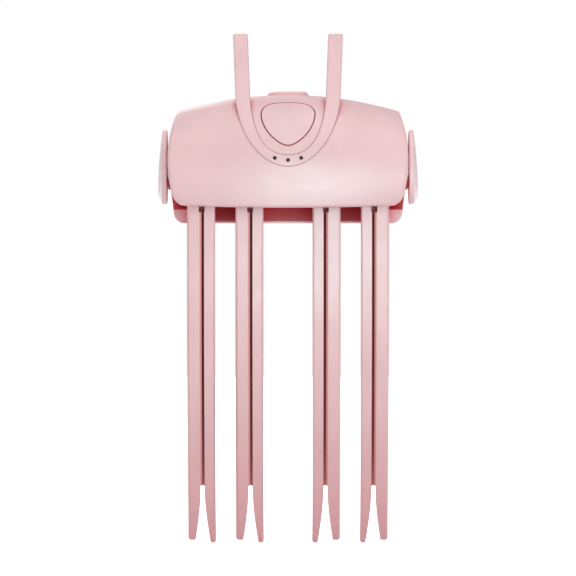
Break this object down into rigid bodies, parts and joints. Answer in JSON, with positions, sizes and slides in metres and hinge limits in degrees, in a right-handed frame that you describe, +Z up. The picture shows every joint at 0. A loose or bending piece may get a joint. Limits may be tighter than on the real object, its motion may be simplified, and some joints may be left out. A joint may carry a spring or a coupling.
{
  "type": "heated root volumizing hair clip",
  "caption": "Cordless heated hair clip: long split teeth with heater bars, sprung rear comb jaw with thumb lever, U-shaped squeeze handle, power button and USB-C charging socket.",
  "frame": {"origin": "middle of the bounding box in plan, at the height of the tooth tips", "axes": "+Z up along the teeth towards the handle, -Y towards the front with the button, +X to the right seen from the front, along the hinge"},
  "size_m": [0.0774, 0.0386, 0.1522],
  "materials": {
    "pink_plastic": "satin pastel pink",
    "handle_plastic": "satin pastel pink",
    "tooth_plastic": "satin pastel pink",
    "button_plastic": "satin pastel pink",
    "rose_plastic": "satin rose pink",
    "ear_plastic": "satin mauve pink",
    "bar_aluminium": "bead blasted and anodised",
    "heater_film": "amber film",
    "silicone": "matt",
    "pin_steel": "ground",
    "spring_steel": "drawn wire",
    "screw_steel": "plated",
    "lens_plastic": "smoked",
    "led_plastic": "clear resin",
    "board_laminate": "green solder mask",
    "black_plastic": "moulded",
    "socket_steel": "nickel plated",
    "cell_wrap": "shrink sleeve",
    "mica": "pressed sheet",
    "cutoff_case": "drawn case",
    "stem_plastic": "natural"
  },
  "bodies": {
    "front_jaw": {"back_housing": "pink_plastic", "battery_cell": "cell_wrap", "battery_tabs": "socket_steel", "board_chips": "black_plastic", "board_screws": "screw_steel", "button_seal": "silicone", "circuit_board": "board_laminate", "cover_screws": "screw_steel", "front_cover": "pink_plastic", "handle_plates": "screw_steel", "handle_screws": "screw_steel", "heat_shield": "mica", "heating_films": "heater_film", "indicator_lenses": "lens_plastic", "inner_left_heater_bar": "bar_aluminium", "inner_left_tooth": "tooth_plastic", "inner_right_heater_bar": "bar_aluminium", "inner_right_tooth": "tooth_plastic", "left_torsion_spring": "spring_steel", "outer_left_heater_bar": "bar_aluminium", "outer_left_tooth": "tooth_plastic", "outer_right_heater_bar": "bar_aluminium", "outer_right_tooth": "tooth_plastic", "port_board": "board_laminate", "port_shell": "socket_steel", "port_tongue": "black_plastic", "retainer_screws": "screw_steel", "right_torsion_spring": "spring_steel", "squeeze_handle": "handle_plastic", "status_leds": "led_plastic", "tactile_switch": "black_plastic", "thermal_cutoff": "cutoff_case", "tooth_retainer": "screw_steel"},
    "button": {"power_button": "button_plastic", "switch_stem": "stem_plastic"},
    "rear_jaw": {"rear_shell": "rose_plastic", "rear_comb": "rose_plastic", "clamp_pads": "silicone", "left_ear_cap": "ear_plastic", "right_ear_cap": "ear_plastic", "thumb_pad": "silicone", "comb_screws": "screw_steel", "left_hinge_pin": "pin_steel", "right_hinge_pin": "pin_steel"}
  },
  "joints": [
    {"name": "jaw_hinge", "type": "hinge", "parent": "front_jaw", "child": "rear_jaw", "pos_m": [0, -0.00232, 0.1112], "axis": [1, 0, 0], "range_deg": [0, 25], "stiffness_Nm_per_rad": 0.35, "springref_deg": -34.38, "deforming": ["left_torsion_spring", "right_torsion_spring"]},
    {"name": "button_press", "type": "slide", "parent": "front_jaw", "child": "button", "axis": [0, 0.8699, -0.4932], "range_m": [0, 0.00045], "stiffness_N_per_m": 600, "springref_m": -0.002}
  ]
}
